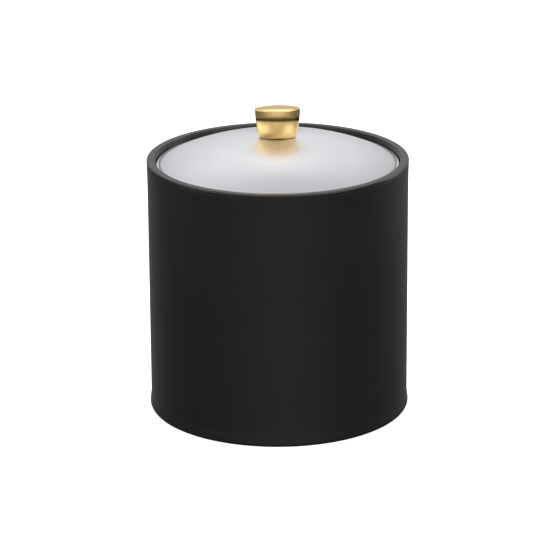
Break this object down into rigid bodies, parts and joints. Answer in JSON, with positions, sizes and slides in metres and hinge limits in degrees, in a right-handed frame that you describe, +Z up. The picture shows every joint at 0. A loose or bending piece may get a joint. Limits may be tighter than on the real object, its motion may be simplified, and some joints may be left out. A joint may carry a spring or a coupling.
{
  "type": "ice bucket",
  "caption": "Round insulated bar ice bucket: black leatherette drum with a plastic liner and rim, and a lift-off domed satin metal lid with a polished brass knob.",
  "frame": {"origin": "centre of the base, on the surface that the bucket stands on", "axes": "+Z up along the bucket's axis, X along the knob's long side, -Y the side that the picture shows, +Y the side with the seam of the wrap"},
  "size_m": [0.198, 0.198, 0.2345],
  "materials": {
    "leatherette": "satin",
    "black_moulding": "satin",
    "fibreboard": "matte",
    "foam": "matte",
    "felt": "matte",
    "silicone": "matte",
    "satin_aluminium": "satin",
    "bright_aluminium": "polished",
    "polished_brass": "polished",
    "zinc_steel": "satin"
  },
  "bodies": {
    "bucket": {"wrap": "leatherette", "outer_shell": "fibreboard", "top_band": "fibreboard", "base_ring": "black_moulding", "base_board": "fibreboard", "base_pad": "felt", "bottom_insulation": "foam", "side_insulation": "foam", "liner": "black_moulding", "liner_seal": "silicone", "rim_ring": "black_moulding"},
    "lid": {"lid_shell": "satin_aluminium", "lid_edge_ring": "bright_aluminium", "lid_pan": "black_moulding", "lid_insulation": "foam", "lid_gasket": "silicone", "knob": "polished_brass", "knob_screw": "zinc_steel", "knob_flat_washer": "zinc_steel", "knob_lock_washer": "zinc_steel"}
  },
  "joints": [
    {"name": "lid_lift", "type": "slide", "parent": "bucket", "child": "lid", "axis": [0, 0, 1], "range_m": [0, 0.08]}
  ]
}
